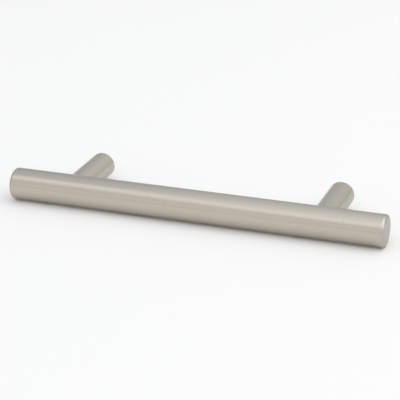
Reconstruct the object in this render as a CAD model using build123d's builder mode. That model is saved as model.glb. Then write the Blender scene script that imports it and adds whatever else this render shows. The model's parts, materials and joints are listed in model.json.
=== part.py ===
from build123d import *
import math
import os

# T-bar cabinet pull: a solid round bar on two turned posts, each held by a threaded stud.
# The origin is midway between the two screw holes, on the plane of the drawer front.
# +X runs along the bar, +Y points into the drawer front, +Z is up. Millimetres.

# Bar
bar_diameter = 12.0
bar_overhang = 24.0  # past each screw hole
bar_edge_radius = 1.2

# Posts
post_spacing = 96.0  # between the two screw holes
post_diameter = 9.7
post_edge_chamfer = 0.5
projection = 35.0  # from the drawer front to the front of the bar
saddle_gap = 0.02  # between the coped end and the bar

# Tapped hole in each foot, at the core of an M4 thread
screw_bore_diameter = 3.3
screw_mouth_chamfer = 0.5

# Stud that joins post and bar, at the core of an M5 thread
stud_diameter = 4.1
stud_gap = 0.05  # all round the stud, to the core of the tapped hole
stud_in_bar = 6.6
stud_in_post = 7.0
stud_end_chamfer = 0.5
stud_tip_gap = 0.4  # free depth below the stud in the bar
stud_runout = 2.0  # free depth behind the stud in the post
key_across_flats = 2.5
key_depth = 2.5

drill_point_angle = 118.0

# Worked out from the sizes above
bar_radius = bar_diameter / 2
bar_length = post_spacing + 2 * bar_overhang
bar_centre_y = bar_radius - projection
post_radius = post_diameter / 2
post_end = projection - bar_radius  # all depths of the post start at the bar's axis
screw_bore_radius = screw_bore_diameter / 2
screw_mouth_radius = screw_bore_radius + screw_mouth_chamfer
stud_radius = stud_diameter / 2
stud_bore_radius = stud_radius + stud_gap
stud_start = bar_radius - stud_in_bar
stud_end = bar_radius + stud_in_post
bar_bore_end = stud_start - stud_tip_gap
post_bore_end = stud_end + stud_runout
post_places = {"left": -post_spacing / 2, "right": post_spacing / 2}


def drill_cone(outer_radius, inner_radius=0.0):
    """Depth of the cone that a twist drill leaves between two radii."""
    return (outer_radius - inner_radius) / math.tan(math.radians(drill_point_angle / 2))


def section_plane(x):
    """Half-section of a post: local X is the radius, local Y the depth from the bar's axis."""
    return Plane(origin=(x, bar_centre_y, 0), x_dir=(1, 0, 0), z_dir=(0, 0, 1))


def bar_section_plane(x):
    """Square to the bar, centred on its axis."""
    return Plane(origin=(x, bar_centre_y, 0), x_dir=(0, 1, 0), z_dir=(1, 0, 0))


def post_axis(x):
    """Centre line of a post and of the stud and holes in it."""
    return Axis((x, bar_centre_y, 0), (0, 1, 0))


def make_bar():
    """Solid bar with rounded ends and a blind tapped hole behind each post."""
    with BuildPart() as bar:
        with BuildSketch(bar_section_plane(0)):
            Circle(bar_radius)
        extrude(amount=bar_length / 2, both=True)
        fillet(bar.edges().filter_by(GeomType.CIRCLE), radius=bar_edge_radius)
        for x in post_places.values():
            with BuildSketch(section_plane(x)):
                with BuildLine():
                    Polyline(
                        (0, bar_diameter),
                        (stud_bore_radius, bar_diameter),
                        (stud_bore_radius, bar_bore_end),
                        (0, bar_bore_end - drill_cone(stud_bore_radius)),
                        close=True,
                    )
                make_face()
            revolve(axis=post_axis(x), mode=Mode.SUBTRACT)
    return bar


def make_post(x):
    """Turned post, coped to sit on the bar, with a flat foot and a stepped hole through it."""
    shoulder_end = post_bore_end + drill_cone(stud_bore_radius, screw_bore_radius)
    with BuildPart() as post:
        with BuildSketch(section_plane(x)):
            with BuildLine():
                Polyline(
                    (stud_bore_radius, 0),
                    (post_radius, 0),
                    (post_radius, post_end - post_edge_chamfer),
                    (post_radius - post_edge_chamfer, post_end),
                    (screw_mouth_radius, post_end),
                    (screw_bore_radius, post_end - screw_mouth_chamfer),
                    (screw_bore_radius, shoulder_end),
                    (stud_bore_radius, post_bore_end),
                    close=True,
                )
            make_face()
        revolve(axis=post_axis(x))
        # The cope is the bar's own round plus the seating gap
        with BuildSketch(bar_section_plane(x)):
            Circle(bar_radius + saddle_gap)
        extrude(amount=post_diameter, both=True, mode=Mode.SUBTRACT)
    return post


def make_stud(x):
    """Headless stud, turned by a hexagon key put in through the foot's screw hole."""
    with BuildPart() as stud:
        with BuildSketch(section_plane(x)):
            with BuildLine():
                Polyline(
                    (0, stud_start),
                    (stud_radius - stud_end_chamfer, stud_start),
                    (stud_radius, stud_start + stud_end_chamfer),
                    (stud_radius, stud_end - stud_end_chamfer),
                    (stud_radius - stud_end_chamfer, stud_end),
                    (0, stud_end),
                    close=True,
                )
            make_face()
        revolve(axis=post_axis(x))
        with BuildSketch(stud.faces().sort_by(Axis.Y)[-1]):
            RegularPolygon(radius=key_across_flats / 2, side_count=6, major_radius=False)
        extrude(amount=-key_depth, mode=Mode.SUBTRACT)
    return stud


os.makedirs("parts", exist_ok=True)

bar = make_bar()
bar.part.label = "bar"
export_step(bar.part, "parts/bar.step")

for side, x in post_places.items():
    post = make_post(x)
    post.part.label = f"post_{side}"
    export_step(post.part, f"parts/post_{side}.step")

    stud = make_stud(x)
    stud.part.label = f"joining_stud_{side}"
    export_step(stud.part, f"parts/joining_stud_{side}.step")
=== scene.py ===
import json
import math
import bpy
from mathutils import Matrix, Vector


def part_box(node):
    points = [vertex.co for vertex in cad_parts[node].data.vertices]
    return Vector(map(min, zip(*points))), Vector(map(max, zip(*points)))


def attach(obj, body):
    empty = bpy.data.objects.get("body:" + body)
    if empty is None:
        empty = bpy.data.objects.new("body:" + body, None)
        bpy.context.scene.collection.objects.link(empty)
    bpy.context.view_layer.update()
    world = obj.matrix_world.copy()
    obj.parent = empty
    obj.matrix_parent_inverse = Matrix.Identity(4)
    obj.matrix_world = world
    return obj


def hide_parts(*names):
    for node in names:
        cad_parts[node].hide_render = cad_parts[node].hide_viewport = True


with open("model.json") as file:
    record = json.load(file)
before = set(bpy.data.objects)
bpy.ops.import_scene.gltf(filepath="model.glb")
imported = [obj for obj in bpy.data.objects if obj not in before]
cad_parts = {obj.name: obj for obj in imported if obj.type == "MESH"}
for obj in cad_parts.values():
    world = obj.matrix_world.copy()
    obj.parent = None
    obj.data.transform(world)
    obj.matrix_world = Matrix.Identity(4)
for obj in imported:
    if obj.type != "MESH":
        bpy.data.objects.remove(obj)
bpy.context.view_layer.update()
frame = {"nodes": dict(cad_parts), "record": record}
mm = 0.001
print("Frame loaded:", ", ".join(sorted(frame["nodes"])))


# Node trees, written as sums

class Wire:  # one output socket, and sums on it add Math nodes
    def __init__(self, graph, socket):
        self.graph = graph
        self.socket = socket

    def maths(self, operation, *terms):
        return self.graph.add("ShaderNodeMath", {"operation": operation}, dict(enumerate(terms)))

    def __add__(self, other):
        return self.maths("ADD", self, other)

    def __radd__(self, other):
        return self.maths("ADD", other, self)

    def __sub__(self, other):
        return self.maths("SUBTRACT", self, other)

    def __rsub__(self, other):
        return self.maths("SUBTRACT", other, self)

    def __mul__(self, other):
        return self.maths("MULTIPLY", self, other)

    def __rmul__(self, other):
        return self.maths("MULTIPLY", other, self)

    def __truediv__(self, other):
        return self.maths("DIVIDE", self, other)

    def __rtruediv__(self, other):
        return self.maths("DIVIDE", other, self)

    def __pow__(self, other):
        return self.maths("POWER", self, other)

    def __mod__(self, other):
        return self.maths("FLOORED_MODULO", self, other)

    def other(self, name):  # another output of the same node
        return Wire(self.graph, self.socket.node.outputs[name])


class Graph:  # a shader or geometry tree while it is filled
    def __init__(self, tree):
        self.tree = tree
        self.tree.nodes.clear()

    def add(self, kind, settings=None, sockets=None, give=0):
        node = self.tree.nodes.new(kind)
        for name, value in (settings or {}).items():
            setattr(node, name, value)
        for key, value in (sockets or {}).items():
            if isinstance(value, Wire):
                self.tree.links.new(value.socket, node.inputs[key])
            else:
                node.inputs[key].default_value = value
        line, column = divmod(len(self.tree.nodes) - 1, 8)  # laid out eight to a line
        node.location = (column * 200, line * -320)
        return Wire(self, node.outputs[give]) if len(node.outputs) else None

    def mixColours(self, factor, first, second):
        return self.add("ShaderNodeMix", {"data_type": "RGBA"}, {0: factor, 6: first, 7: second}, give=2)

    def noise(self, place, scale, detail, roughness):
        sockets = {"Vector": place, "Scale": scale, "Detail": detail, "Roughness": roughness}
        return self.add("ShaderNodeTexNoise", None, sockets)


# Geometry node trees

def newGeometryGraph(name, inputs):  # inputs are {name: socket type}
    tree = bpy.data.node_groups.new(name, "GeometryNodeTree")
    for label, kind in inputs.items():
        tree.interface.new_socket(label, in_out="INPUT", socket_type="NodeSocket" + kind)
    tree.interface.new_socket("Geometry", in_out="OUTPUT", socket_type="NodeSocketGeometry")
    graph = Graph(tree)
    source = graph.add("NodeGroupInput")
    return graph, {label: source.other(label) for label in inputs}


def endGeometryGraph(graph, shape, finish):
    real = graph.add("GeometryNodeRealizeInstances", None, {0: shape})
    dressed = graph.add("GeometryNodeSetMaterial", None, {"Geometry": real, "Material": finish})
    graph.add("NodeGroupOutput", None, {0: dressed})
    return graph.tree


mergeDistance = 0.0005 * mm  # closes the seam and the poles of a turned piece


# Turns an outline about Y. A row of the outline is held by one point: X is its radius, Y its depth and
# Z how far it follows the cope. "thread" holds the other limit of the radius, the pitch radius and the
# pitch, and "flats" how far the row is a hexagon.
def makeTurnedTree():
    graph, given = newGeometryGraph(
        "turned piece",
        {
            "Outline": "Geometry",
            "Segments": "Int",
            "Cope Radius": "Float",
            "Turn": "Vector",
            "Place": "Vector",
            "Finish": "Material",
        },
    )
    segments = given["Segments"]
    pointCount = graph.add("GeometryNodeAttributeDomainSize", {"component": "MESH"}, {0: given["Outline"]})
    grid = graph.add("GeometryNodeMeshGrid", None, {"Vertices X": segments + 1, "Vertices Y": pointCount})
    index = graph.add("GeometryNodeInputIndex")
    rowIndex = index % pointCount
    turn = (index - rowIndex) / pointCount / segments

    def fromOutline(kind, name=None):  # the outline's value in this point's row
        if name:
            value = graph.add("GeometryNodeInputNamedAttribute", {"data_type": kind}, {"Name": name})
        else:
            value = graph.add("GeometryNodeInputPosition")
        sockets = {"Geometry": given["Outline"], "Value": value, "Index": rowIndex}
        return graph.add("GeometryNodeSampleIndex", {"data_type": kind}, sockets)

    plain = graph.add("ShaderNodeSeparateXYZ", None, {0: fromOutline("FLOAT_VECTOR")})
    limit = graph.add("ShaderNodeSeparateXYZ", None, {0: fromOutline("FLOAT_VECTOR", "thread")})
    angle = turn * math.tau
    across = graph.add("ShaderNodeMath", {"operation": "COSINE"}, {0: angle})
    upward = graph.add("ShaderNodeMath", {"operation": "SINE"}, {0: angle})
    height = plain * upward
    copeRadius = given["Cope Radius"]
    cope = (copeRadius * copeRadius - height * height) ** 0.5
    depth = plain.other("Y") + plain.other("Z") * cope

    pitchRadius, pitch = limit.other("Y"), limit.other("Z")
    turnsAlong = depth / pitch + turn
    fromCrest = turnsAlong.maths("ABSOLUTE", turnsAlong % 1.0 - 0.5) * pitch
    flank = pitchRadius + (pitch / 4 - fromCrest) * math.sqrt(3)  # 60 degrees between two flanks
    cut = flank.maths("MINIMUM", flank, plain.maths("MAXIMUM", plain, limit))
    cut = cut.maths("MAXIMUM", cut, plain.maths("MINIMUM", plain, limit))

    halfFlat = math.tau / 12
    flatTurn = angle % (halfFlat * 2) - halfFlat
    toFlat = math.cos(halfFlat) / graph.add("ShaderNodeMath", {"operation": "COSINE"}, {0: flatTurn})
    radius = cut * (1 + fromOutline("FLOAT", "flats") * (toFlat - 1))

    place = {0: radius * across, 1: depth, 2: radius * upward}
    position = graph.add("ShaderNodeCombineXYZ", None, place)
    shaped = graph.add("GeometryNodeSetPosition", None, {"Geometry": grid, "Position": position})
    grain = graph.add("ShaderNodeCombineXYZ", None, {0: fromOutline("FLOAT", "run"), 1: across, 2: upward})
    marked = graph.add(
        "GeometryNodeStoreNamedAttribute",
        {"data_type": "FLOAT_VECTOR", "domain": "POINT"},
        {"Geometry": shaped, "Name": "grain", "Value": grain},
    )
    for name in ("edge", "inside"):
        marked = graph.add(
            "GeometryNodeStoreNamedAttribute",
            {"data_type": "FLOAT", "domain": "POINT"},
            {"Geometry": marked, "Name": name, "Value": fromOutline("FLOAT", name)},
        )
    closed = graph.add("GeometryNodeMergeByDistance", None, {"Geometry": marked, "Distance": mergeDistance})
    outward = graph.add("GeometryNodeFlipFaces", None, {"Mesh": closed})
    smooth = graph.add("GeometryNodeSetShadeSmooth", None, {"Geometry": outward, "Shade Smooth": True})
    placed = graph.add(
        "GeometryNodeTransform",
        None,
        {"Geometry": smooth, "Translation": given["Place"], "Rotation": given["Turn"]},
    )
    return endGeometryGraph(graph, placed, given["Finish"])


# Cuts the same drilled hole twice, a spacing apart, out of the mesh that it is given.
def makeDrilledTree():
    graph, given = newGeometryGraph(
        "drilled twice",
        {
            "Blank": "Geometry",
            "Drill": "Object",
            "Spacing": "Float",
            "Place": "Vector",
            "Finish": "Material",
        },
    )
    drill = graph.add("GeometryNodeObjectInfo", None, {"Object": given["Drill"]}, give="Geometry")
    drills = graph.add("GeometryNodeJoinGeometry")
    for side in (-0.5, 0.5):
        shift = graph.add("ShaderNodeCombineXYZ", None, {"X": given["Spacing"] * side})
        place = graph.add("ShaderNodeVectorMath", {"operation": "ADD"}, {0: given["Place"], 1: shift})
        placed = graph.add("GeometryNodeTransform", None, {"Geometry": drill, "Translation": place})
        graph.tree.links.new(placed.socket, drills.socket.node.inputs[0])
    cut = graph.add(
        "GeometryNodeMeshBoolean",
        {"operation": "DIFFERENCE", "solver": "EXACT"},
        {"Mesh 1": given["Blank"], "Mesh 2": drills},
    )
    edged = graph.add(
        "GeometryNodeSetShadeSmooth",
        {"domain": "EDGE"},
        {"Geometry": cut, "Selection": cut.other("Intersecting Edges"), "Shade Smooth": False},
    )
    return endGeometryGraph(graph, edged, given["Finish"])


turnedTree = makeTurnedTree()
drilledTree = makeDrilledTree()


def runTree(name, tree, mesh, inputs):  # the tree's result as a plain mesh object
    holder = bpy.data.objects.new(name + "Outline", mesh)
    bpy.context.scene.collection.objects.link(holder)
    modifier = holder.modifiers.new("tree", "NODES")
    modifier.node_group = tree
    for item in tree.interface.items_tree:
        if item.in_out == "INPUT" and item.name in inputs:
            modifier[item.identifier] = inputs[item.name]
    depsgraph = bpy.context.evaluated_depsgraph_get()
    evaluated = holder.evaluated_get(depsgraph)
    result = bpy.data.meshes.new_from_object(evaluated, preserve_all_data_layers=True, depsgraph=depsgraph)
    holder.modifiers.remove(modifier)
    bpy.data.objects.remove(holder)
    result.materials.clear()
    result.materials.append(inputs["Finish"])
    result.polygons.foreach_set("material_index", [0] * len(result.polygons))
    piece = bpy.data.objects.new(name, result)
    bpy.context.scene.collection.objects.link(piece)
    return piece


def row(radius, depth, follow=0.0, soft=0.0, flats=0.0, edge=0.0, inside=0.0):  # one row of an outline
    return {
        "radius": radius,
        "depth": depth,
        "follow": follow,
        "soft": soft,
        "flats": flats,
        "edge": edge,  # 1 on a rounded edge, where the brushing is lost and the colour is darkened as painted shade
        "inside": inside,  # 1 in the holes
        "thread": (radius, radius, 1.0),  # both limits alike, so no thread
    }


def outlineMesh(name, rows):
    mesh = bpy.data.meshes.new(name)
    points = [(each["radius"], each["depth"], each["follow"]) for each in rows]
    mesh.from_pydata(points, [(i, i + 1) for i in range(len(points) - 1)], [])
    runs = [0.0]
    for first, second in zip(points, points[1:]):
        runs.append(runs[-1] + math.hypot(second[0] - first[0], second[1] - first[1]))
    mesh.attributes.new("run", "FLOAT", "POINT").data.foreach_set("value", runs)
    for key in ("flats", "edge", "inside"):
        values = [each[key] for each in rows]
        mesh.attributes.new(key, "FLOAT", "POINT").data.foreach_set("value", values)
    threads = [number for each in rows for number in each["thread"]]
    mesh.attributes.new("thread", "FLOAT_VECTOR", "POINT").data.foreach_set("vector", threads)
    return mesh


cornerSteps = 3  # rows across a rounded corner
cornerReach = 2.0  # softnesses that a rounded corner takes of each side
threadClear = 3.0  # softnesses from a corner to the first row of a thread


def softCorners(corners, loop):  # rounds each corner that has a softness
    rows = []
    for i, corner in enumerate(corners):
        soft = corner["soft"]
        if not soft:
            rows.append(corner)
            continue
        here, before, after = [
            Vector((each["radius"], each["depth"]))
            for each in (corner, corners[i - 1], corners[(i + 1) % len(corners)])
        ]
        before = (before - here).normalized() * soft
        after = (after - here).normalized() * soft
        near = [(here + before * cornerReach, 0.0)]
        for step in range(cornerSteps + 1):
            share = step / cornerSteps
            bend = here + before * (1 - share) ** 2 + after * share ** 2
            near.append((bend, 1.0 - corner["inside"]))
        near.append((here + after * cornerReach, 0.0))
        for (radius, depth), edge in near:
            rows.append(row(radius, depth, corner["follow"], 0.0, corner["flats"], edge, corner["inside"]))
    return rows + rows[:1] if loop else rows


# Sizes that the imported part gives

barLow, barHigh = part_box("bar")
barCentre = (barLow + barHigh) / 2
barRadius = (barHigh.y - barLow.y) / 2
barLength = barHigh.x - barLow.x
mounts = {mount["name"]: mount for mount in frame["record"]["mounts"]}
studLow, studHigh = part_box("joining_stud_left")
studCore = (studHigh.x - studLow.x) / 2
studStart, studEnd = studLow.y - barCentre.y, studHigh.y - barCentre.y


# Threads, with flanks at 30 degrees to the radius. All depths start at the bar's axis, so a stud's
# thread stands in the grooves of its holes.

threadShape = {
    "screw": {"pitch": 0.7 * mm, "majorRadius": 2.0 * mm},
    "stud": {"pitch": 0.8 * mm, "majorRadius": 2.5 * mm},
    "play": 0.05 * mm,
    "rowsPerPitch": 12,
    "drillPoint": 118.0,  # degrees
    "saddleGap": 0.02 * mm,  # between the bar and the posts' copes
}
studBore = studCore + threadShape["play"]
studGroove = threadShape["stud"]["majorRadius"] + threadShape["play"]
drillSlope = math.tan(math.radians(threadShape["drillPoint"] / 2))  # a drilled cone's radius by its depth
saddleRadius = barRadius + threadShape["saddleGap"]


# A run of rows that carries a thread. "radius" and "limit" give both limits of its radius at a depth.
def threadRows(kind, start, end, radius, limit, play=0.0, follow=(0.0, 0.0)):
    look = threadShape[kind]
    sharpHeight = look["pitch"] * math.sqrt(3) / 2
    pitchRadius = look["majorRadius"] - sharpHeight * 3 / 8 + play
    count = round(abs(end - start) / look["pitch"] * threadShape["rowsPerPitch"])
    rows = []
    for i in range(count + 1):
        share = i / count
        depth = start + (end - start) * share
        copeShare = follow[0] + (follow[1] - follow[0]) * share
        each = row(radius(depth), depth - copeShare * saddleRadius, copeShare, inside=1.0)
        each["thread"] = (limit(depth), pitchRadius, look["pitch"])
        rows.append(each)
    return rows


# Satin nickel

satinNickel = {
    "colour": (0.550, 0.510, 0.442, 1.0),
    "darkStreak": (0.520, 0.481, 0.416, 1.0),
    "grazingTint": (0.80, 0.80, 0.81, 1.0),
    "cloudScale": 160.0,
    "cloudShare": 0.4,  # of the streaks, and the rest comes from the brushing
    "roughness": 0.24,
    "roughnessSwing": 0.04,
    "scratchesPerMm": 11.0,  # across the brushing
    "scratchesPerRadian": 0.9,  # along it, so more makes them shorter
    "scratchRelief": 0.5,
    "hairlineFrom": 0.56,
    "hairlineSharpness": 5.0,
    "hairlineColour": (0.47, 0.435, 0.372, 1.0),
    "hairlineRoughness": 0.04,
    "hairlineDepth": 0.0006 * mm,
    # darker on the rounded edges: partly where the brushing is lost, partly painted shade standing in for a
    # dark reflection along the rims
    "edgeColourAndPaintedShade": (0.48, 0.456, 0.412, 1.0),
    "edgeRoughness": 0.10,
    "insideColour": (0.42, 0.39, 0.34, 1.0),
    "insideRoughness": 0.12,
}


def makeSatinNickel(look):
    material = bpy.data.materials.new("satinNickel")
    material.use_nodes = True
    graph = Graph(material.node_tree)
    grain = graph.add("ShaderNodeAttribute", {"attribute_name": "grain"}, give="Vector")
    edge = graph.add("ShaderNodeAttribute", {"attribute_name": "edge"}, give="Fac")
    inside = graph.add("ShaderNodeAttribute", {"attribute_name": "inside"}, give="Fac")
    run = graph.add("ShaderNodeSeparateXYZ", None, {0: grain})
    scratchVector = graph.add(
        "ShaderNodeCombineXYZ",
        None,
        {
            0: run * (look["scratchesPerMm"] / mm),
            1: run.other("Y") * look["scratchesPerRadian"],
            2: run.other("Z") * look["scratchesPerRadian"],
        },
    )
    scratches = graph.noise(scratchVector, scale=1.0, detail=2.0, roughness=0.5)
    hairline = (scratches - look["hairlineFrom"]) * look["hairlineSharpness"]
    hairline = hairline.maths("MAXIMUM", hairline.maths("MINIMUM", hairline, 1.0), 0.0)
    place = graph.add("ShaderNodeTexCoord", give="Object")
    clouds = graph.noise(place, scale=look["cloudScale"], detail=3.0, roughness=0.55)
    streaks = scratches * (1 - look["cloudShare"]) + clouds * look["cloudShare"]
    colour = graph.mixColours(streaks, look["darkStreak"], look["colour"])
    colour = graph.mixColours(hairline, colour, look["hairlineColour"])
    # rounded edges darkened: partly the lost brushing, partly painted shade standing in for a dark
    # reflection at the rims
    colour = graph.mixColours(edge, colour, look["edgeColourAndPaintedShade"])
    colour = graph.mixColours(inside, colour, look["insideColour"])
    roughness = look["roughness"] + (clouds - 0.5) * look["roughnessSwing"] * 2
    roughness = roughness + hairline * look["hairlineRoughness"]
    roughness = roughness + edge * look["edgeRoughness"] + inside * look["insideRoughness"]
    relief = scratches * look["scratchRelief"] - hairline
    normal = graph.add("ShaderNodeBump", None, {"Distance": look["hairlineDepth"], "Height": relief})
    surface = graph.add(
        "ShaderNodeBsdfPrincipled",
        None,
        {
            "Base Color": colour,
            "Metallic": 1.0,
            "Roughness": roughness,
            "Specular Tint": look["grazingTint"],
            "Normal": normal,
        },
    )
    graph.add("ShaderNodeOutputMaterial", None, {"Surface": surface})
    return material


# Zinc plate of the studs

zincPlate = {
    "colour": (0.52, 0.53, 0.55, 1.0),
    "dark": (0.40, 0.41, 0.42, 1.0),
    "scale": 500.0,
    "roughness": 0.33,
    "roughnessSwing": 0.1,
    "depth": 0.01 * mm,
}


def makeZincPlate(look):
    material = bpy.data.materials.new("zincPlate")
    material.use_nodes = True
    graph = Graph(material.node_tree)
    place = graph.add("ShaderNodeTexCoord", give="Object")
    mottle = graph.noise(place, scale=look["scale"], detail=4.0, roughness=0.6)
    surface = graph.add(
        "ShaderNodeBsdfPrincipled",
        None,
        {
            "Base Color": graph.mixColours(mottle, look["dark"], look["colour"]),
            "Metallic": 1.0,
            "Roughness": look["roughness"] + (mottle - 0.5) * look["roughnessSwing"] * 2,
            "Normal": graph.add("ShaderNodeBump", None, {"Distance": look["depth"], "Height": mottle}),
        },
    )
    graph.add("ShaderNodeOutputMaterial", None, {"Surface": surface})
    return material


nickelFinish = makeSatinNickel(satinNickel)
studFinish = makeZincPlate(zincPlate)
print("Materials made")


# Studs, with a hexagon for the key in the end that faces the screw

studShape = {
    "endChamfer": 0.5 * mm,
    "crestPlay": 0.02 * mm,
    "keyAcross": 2.5 * mm,
    "keyDepth": 2.5 * mm,
    "softEdge": 0.04 * mm,
    "keySoftEdge": 0.01 * mm,
    "segments": 72,
}


def studCone(depth):  # the widest that the end chamfers let a stud be
    return studCore - studShape["endChamfer"] + min(depth - studStart, studEnd - depth)


def studOutline(shape):
    crest = threadShape["stud"]["majorRadius"] - shape["crestPlay"]
    face = studCore - shape["endChamfer"]
    keyCorner = shape["keyAcross"] / 2 / math.cos(math.tau / 12)
    keyEnd = studEnd - shape["keyDepth"]
    soft, keySoft = shape["softEdge"], shape["keySoftEdge"]
    corners = [row(0.0, studStart), row(face, studStart, soft=soft)]
    corners += threadRows(
        "stud",
        studStart + soft * threadClear,
        studEnd - soft * threadClear,
        lambda depth: min(studCore, studCone(depth)),
        lambda depth: min(crest, studCone(depth)),
    )
    corners += [
        row(face, studEnd, soft=soft),
        row(keyCorner, studEnd, soft=keySoft, flats=1.0),
        row(keyCorner, keyEnd, soft=keySoft, flats=1.0),
        row(0.0, keyEnd),
    ]
    return softCorners(corners, loop=False)


studPlaces = {side: mounts["screw_hole_" + side]["pos_m"][0] for side in ("left", "right")}
for side, centreX in studPlaces.items():
    stud = runTree(
        "joiningStud_" + side,
        turnedTree,
        outlineMesh("studOutline", studOutline(studShape)),
        {
            "Segments": studShape["segments"],
            "Cope Radius": 0.0,
            "Turn": (0.0, 0.0, 0.0),
            "Place": (centreX, barCentre.y, barCentre.z),
            "Finish": studFinish,
        },
    )
    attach(stud, "root")
    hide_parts("joining_stud_" + side)
print("Studs made:", len(stud.data.polygons), "faces each")


# Bar, with a tapped hole behind each post

barShape = {
    "edgeRadius": 1.2 * mm,
    "edgeSteps": 12,
    "faceRings": (0.0, 0.3, 0.6, 0.85, 0.97),  # shares of the flat face's radius
    "rowSpacing": 2.0 * mm,
    "segments": 192,
}
tapShape = {
    "tipGap": 0.4 * mm,
    "softEdge": 0.05 * mm,
    "mouthDepth": 0.2 * mm,
    "segments": 72,
}


def barOutline(shape):
    end = barLength / 2
    edge = shape["edgeRadius"]
    steps = shape["edgeSteps"]
    rim = barRadius - edge
    half = [(rim * share, -end, 0.0) for share in shape["faceRings"]]
    for step in range(steps + 1):
        angle = math.pi / 2 * step / steps
        radius, depth = rim + edge * math.sin(angle), -end + edge * (1 - math.cos(angle))
        half.append((radius, depth, math.sin(angle * 2)))
    half.append((barRadius, -end + edge * 1.1, 0.0))  # holds the wall's shading flat
    straight = barLength - 2 * edge
    rows = round(straight / shape["rowSpacing"])
    middle = [(barRadius, -end + edge + straight * i / rows, 0.0) for i in range(1, rows)]
    # the fillet's edge mask, for the lost brushing and for the painted shade on the rim
    farHalf = [(radius, -depth, wornAndPaintedShade) for radius, depth, wornAndPaintedShade in reversed(half)]
    return [row(radius, depth, edge=wornAndPaintedShade) for radius, depth, wornAndPaintedShade in half + middle + farHalf]


def tapOutline(shape):  # the hole as a solid, to be cut out of the bar
    bottom = studStart - shape["tipGap"]
    mouth = math.sqrt(barRadius ** 2 - studGroove ** 2) - shape["mouthDepth"]
    top = barRadius * 1.5  # well outside the bar
    soft, play = shape["softEdge"], threadShape["play"]

    def wall(depth):  # opened at 45 degrees, so that the thread ends inside the bar
        return max(studBore, studGroove - (mouth - depth))

    corners = [
        row(0.0, bottom - studBore / drillSlope, inside=1.0),
        row(studBore, bottom, soft=soft, inside=1.0),
    ]
    corners += threadRows(
        "stud",
        bottom + soft * threadClear,
        mouth,
        wall,
        lambda depth: max(wall(depth), min(studCone(depth) + play, studGroove)),
        play,
    )
    corners += [row(studGroove, top, inside=1.0), row(0.0, top)]
    return softCorners(corners, loop=False)


barBlank = runTree(
    "barBlank",
    turnedTree,
    outlineMesh("barOutline", barOutline(barShape)),
    {
        "Segments": barShape["segments"],
        "Cope Radius": 0.0,
        "Turn": (0.0, 0.0, -math.pi / 2),
        "Place": tuple(barCentre),
        "Finish": nickelFinish,
    },
)
tap = runTree(
    "tap",
    turnedTree,
    outlineMesh("tapOutline", tapOutline(tapShape)),
    {
        "Segments": tapShape["segments"],
        "Cope Radius": 0.0,
        "Turn": (0.0, 0.0, 0.0),
        "Place": (0.0, 0.0, 0.0),
        "Finish": nickelFinish,
    },
)
bar = runTree(
    "brushedBar",
    drilledTree,
    barBlank.data,
    {
        "Drill": tap,
        "Spacing": studPlaces["right"] - studPlaces["left"],
        "Place": tuple(barCentre),
        "Finish": nickelFinish,
    },
)
for spare in (barBlank, tap):
    bpy.data.objects.remove(spare)
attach(bar, "root")
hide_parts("bar")
print("Bar made:", len(bar.data.polygons), "faces")


# Posts, tapped for the stud at the cope and for the screw at the foot

postShape = {
    "footChamfer": 0.5 * mm,
    "mouthChamfer": 0.5 * mm,
    "softEdge": 0.06 * mm,
    "fineEdge": 0.03 * mm,  # softness at the cope and at the mouths
    "copeRow": 1.0 * mm,  # from the cope to the first row of the wall
    "saddleRows": 20,
    "rowSpacing": 2.5 * mm,
    "tapStop": 0.4 * mm,
    "tapLead": 1.2 * mm,
    "segments": 128,
}


def postOutline(shape, hole, postRadius):
    end = -barCentre.y
    soft, fine = shape["softEdge"], shape["fineEdge"]
    footEdge, copeRow = end - shape["footChamfer"], shape["copeRow"]
    studPlay = threadShape["play"]
    screwPlay = studPlay / 2
    screwCore = hole["dims"]["r_mm"] * mm
    screwGroove = threadShape["screw"]["majorRadius"] + screwPlay
    mouth = screwCore + shape["mouthChamfer"]
    shoulder = end - shape["mouthChamfer"] - hole["dims"]["length_mm"] * mm
    studHoleEnd = shoulder - (studBore - screwCore) / drillSlope
    grooveEnd = studHoleEnd - shape["tapStop"]
    grooveSlope = (studGroove - studBore) / shape["tapLead"]

    def screwHole(depth, wall):  # a wall of the screw's hole, cut back by the mouth and by the drill's cone
        return max(wall, mouth - (end - depth), screwCore + (shoulder - depth) * drillSlope)

    def studHole(depth):
        return max(studBore, studGroove - (depth - saddleRadius))

    def studHoleGroove(depth):
        return max(studHole(depth), min(studGroove, studBore + (grooveEnd - depth) * grooveSlope))

    corners = [row(studGroove, 0.0, 1.0, fine, inside=1.0)]
    for i in range(1, shape["saddleRows"]):
        share = i / shape["saddleRows"]
        corners.append(row(studGroove + (postRadius - studGroove) * share, 0.0, 1.0, inside=1.0))
    corners += [row(postRadius, 0.0, 1.0, fine), row(postRadius, copeRow, 1.0)]
    rows = round((footEdge - copeRow) / shape["rowSpacing"])
    for i in range(1, rows):  # the rows straighten towards the foot
        share = i / rows
        corners.append(row(postRadius, copeRow + (footEdge - copeRow) * share, 1.0 - share))
    corners += [
        row(postRadius, footEdge, soft=soft),
        row(postRadius - shape["footChamfer"], end, soft=soft),
        row(mouth, end, soft=fine),
    ]
    corners += threadRows(
        "screw",
        end - fine * threadClear,
        studHoleEnd,
        lambda depth: screwHole(depth, screwCore),
        lambda depth: screwHole(depth, screwGroove),
        screwPlay,
    )
    corners += threadRows(
        "stud",
        studHoleEnd - soft,
        saddleRadius + fine * threadClear,
        studHole,
        studHoleGroove,
        studPlay,
        (0.0, 1.0),
    )
    return softCorners(corners, loop=True)


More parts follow.
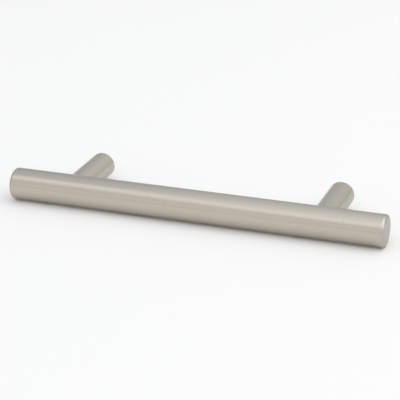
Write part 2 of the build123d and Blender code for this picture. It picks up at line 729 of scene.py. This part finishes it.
for side, centreX in studPlaces.items():
    low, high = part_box("post_" + side)
    hole = mounts["screw_hole_" + side]
    post = runTree(
        "brushedPost_" + side,
        turnedTree,
        outlineMesh("postOutline", postOutline(postShape, hole, (high.x - low.x) / 2)),
        {
            "Segments": postShape["segments"],
            "Cope Radius": saddleRadius,
            "Turn": (0.0, 0.0, 0.0),
            "Place": (centreX, barCentre.y, barCentre.z),
            "Finish": nickelFinish,
        },
    )
    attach(post, "root")
    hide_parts("post_" + side)
print("Posts made:", len(post.data.polygons), "faces each")


# Camera, fitted to the photo's 400 pixel frame

photoView = {
    "azimuth": 20.17,  # degrees
    "elevation": 22.54,
    "roll": -0.57,
    "distance": 0.55534,  # metres from the bar's middle
    "focalPixels": 1523.0,
    "centrePixel": (193.74, 206.15),
    "framePixels": 400.0,
    "sensorWidth": 36.0,
    "nearest": 0.01,  # metres that the camera sees
    "farthest": 20.0,
}


def makeCamera(view):
    azimuth, elevation = math.radians(view["azimuth"]), math.radians(view["elevation"])
    back = Vector((
        math.sin(azimuth) * math.cos(elevation),
        -math.cos(azimuth) * math.cos(elevation),
        math.sin(elevation),
    ))
    right = Vector((0.0, 0.0, 1.0)).cross(back).normalized()
    up = back.cross(right)
    roll = math.radians(view["roll"])
    right, up = (
        right * math.cos(roll) + up * math.sin(roll),
        up * math.cos(roll) - right * math.sin(roll),
    )
    data = bpy.data.cameras.new("camera")
    camera = bpy.data.objects.new("camera", data)
    bpy.context.scene.collection.objects.link(camera)
    turn = Matrix((right, up, back)).transposed().to_4x4()
    camera.matrix_world = Matrix.Translation(barCentre + back * view["distance"]) @ turn
    frameSize = view["framePixels"]
    data.sensor_width = view["sensorWidth"]
    data.lens = view["focalPixels"] / frameSize * view["sensorWidth"]
    data.shift_x = (frameSize / 2 - view["centrePixel"][0]) / frameSize
    data.shift_y = (view["centrePixel"][1] - frameSize / 2) / frameSize
    data.clip_start, data.clip_end = view["nearest"], view["farthest"]
    return camera


bpy.context.scene.camera = makeCamera(photoView)


# Floor, world and lamps, with lengths in metres

studio = {
    "floorSize": 8.0,
    "floorColour": (0.8, 0.8, 0.8, 1.0),
    "floorGlow": 0.045,  # seen by the camera and in reflections, but lights nothing
    "farGlow": 0.26,  # more of it where the lamps don't reach
    "farFrom": 0.9,
    "farTo": 2.6,
    "room": (0.49, 0.50, 0.54),
    "roomUp": (0.32, 0.34, 0.35),
    "roomRight": (0.24, 0.22, 0.20),
    "roomFront": (0.26, 0.23, 0.16),
    "lampDistance": 1.6,
    "widestPanel": 35.0,  # degrees
}


def makeFloor(look):
    half = look["floorSize"] / 2
    height = barLow.z
    mesh = bpy.data.meshes.new("floor")
    corners = [(-half, -half, height), (half, -half, height), (half, half, height), (-half, half, height)]
    mesh.from_pydata(corners, [], [(0, 1, 2, 3)])
    floor = bpy.data.objects.new("floor", mesh)
    bpy.context.scene.collection.objects.link(floor)
    material = bpy.data.materials.new("floorPaper")
    material.use_nodes = True
    graph = Graph(material.node_tree)
    paper = graph.add("ShaderNodeBsdfDiffuse", None, {"Color": look["floorColour"]})
    cameraRay = graph.add("ShaderNodeLightPath")
    seen = cameraRay.maths("MAXIMUM", cameraRay, cameraRay.other("Is Glossy Ray"))
    seen = seen.maths("MAXIMUM", seen, cameraRay.other("Is Transmission Ray"))
    place = graph.add("ShaderNodeTexCoord", give="Object")
    distance = graph.add("ShaderNodeVectorMath", {"operation": "LENGTH"}, {0: place}, give="Value")
    far = graph.add(
        "ShaderNodeMapRange",
        {"interpolation_type": "SMOOTHSTEP"},
        {"Value": distance, "From Min": look["farFrom"], "From Max": look["farTo"]},
    )
    strength = seen * (look["floorGlow"] + far * look["farGlow"])
    glow = graph.add("ShaderNodeEmission", None, {"Color": (1.0, 1.0, 1.0, 1.0), "Strength": strength})
    both = graph.add("ShaderNodeAddShader", None, {0: paper, 1: glow})
    graph.add("ShaderNodeOutputMaterial", None, {"Surface": both})
    mesh.materials.append(material)
    return floor


def makeWorld(look):
    world = bpy.data.worlds.new("studio")
    world.use_nodes = True
    graph = Graph(world.node_tree)
    direction = graph.add("ShaderNodeTexCoord", give="Generated")
    light = look["room"]
    for key, side in {"roomUp": (0, 0, 1), "roomRight": (1, 0, 0), "roomFront": (0, -1, 0)}.items():
        sides = {0: direction, 1: side}
        towards = graph.add("ShaderNodeVectorMath", {"operation": "DOT_PRODUCT"}, sides, give="Value")
        light = graph.add(
            "ShaderNodeVectorMath",
            {"operation": "MULTIPLY_ADD"},
            {0: look[key], 1: towards.maths("MAXIMUM", towards, 0.0), 2: light},
        )
    background = graph.add("ShaderNodeBackground", None, {"Color": light, "Strength": 1.0})
    graph.add("ShaderNodeOutputWorld", None, {"Surface": background})
    bpy.context.scene.world = world


# Softboxes, placed as seen from the bar: "arc" is degrees from the front horizon (0) over the top (90) to
# the back (180), and "side" is degrees to the right. A wide one is made of several flat panels.
softboxes = {
    "key": {"arc": (40, 66), "side": (-20, -3), "radiance": 0.39, "colour": (0.90, 0.91, 1.0)},
    "keyLeft": {"arc": (52, 82), "side": (-40, -20), "radiance": 0.36, "colour": (1.0, 0.96, 1.0)},
    "keyTop": {"arc": (66, 100), "side": (-20, -3), "radiance": 0.22, "colour": (1.0, 1.0, 1.0)},
    "right": {"arc": (52, 120), "side": (-3, 78), "radiance": 0.64, "colour": (1.0, 1.0, 0.97)},
    "left": {"arc": (55, 125), "side": (-86, -66), "radiance": 0.40, "colour": (1.0, 0.98, 0.96)},
    "rightWide": {"arc": (28, 158), "side": (-3, 78), "radiance": 0.19, "colour": (1.0, 0.95, 0.70)},
    "frontLow": {"arc": (0, 28), "side": (-78, -3), "radiance": 0.16, "colour": (0.87, 0.89, 1.0)},
    "backLow": {"arc": (158, 177), "side": (-40, 33), "radiance": 0.19, "colour": (1.0, 1.0, 0.75)},
    "backTop": {"arc": (100, 158), "side": (-20, -3), "radiance": 0.13, "colour": (0.95, 1.0, 0.95)},
}


def splitSpan(span, widest):  # equal parts of a span of degrees, none over the widest
    start, end = span
    count = math.ceil((end - start) / widest)
    step = (end - start) / count
    return [(start + step * i, start + step * (i + 1)) for i in range(count)]


def makePanel(name, look, arc, side, distance):
    turn, lean = math.radians(sum(arc) / 2), math.radians(sum(side) / 2)
    outward = Vector((math.sin(lean), -math.cos(lean) * math.cos(turn), math.cos(lean) * math.sin(turn)))
    data = bpy.data.lights.new(name, "AREA")
    data.shape = "RECTANGLE"
    data.size = 2 * distance * math.tan(math.radians(side[1] - side[0]) / 2)
    data.size_y = 2 * distance * math.cos(lean) * math.tan(math.radians(arc[1] - arc[0]) / 2)
    data.energy = look["radiance"] * math.pi * data.size * data.size_y
    data.color = look["colour"]
    lamp = bpy.data.objects.new(name, data)
    bpy.context.scene.collection.objects.link(lamp)
    wide = (Vector((1.0, 0.0, 0.0)) - outward * outward.x).normalized()
    turned = Matrix((wide, outward.cross(wide), outward)).transposed().to_4x4()
    lamp.matrix_world = Matrix.Translation(barCentre + outward * distance) @ turned


def makeSoftbox(name, look, room):
    for arc in splitSpan(look["arc"], room["widestPanel"]):
        for side in splitSpan(look["side"], room["widestPanel"]):
            makePanel(name, look, arc, side, room["lampDistance"])


makeFloor(studio)
makeWorld(studio)
for name, look in softboxes.items():
    makeSoftbox(name, look, studio)
print("Studio made")

bpy.context.scene.view_settings.view_transform = "Standard"
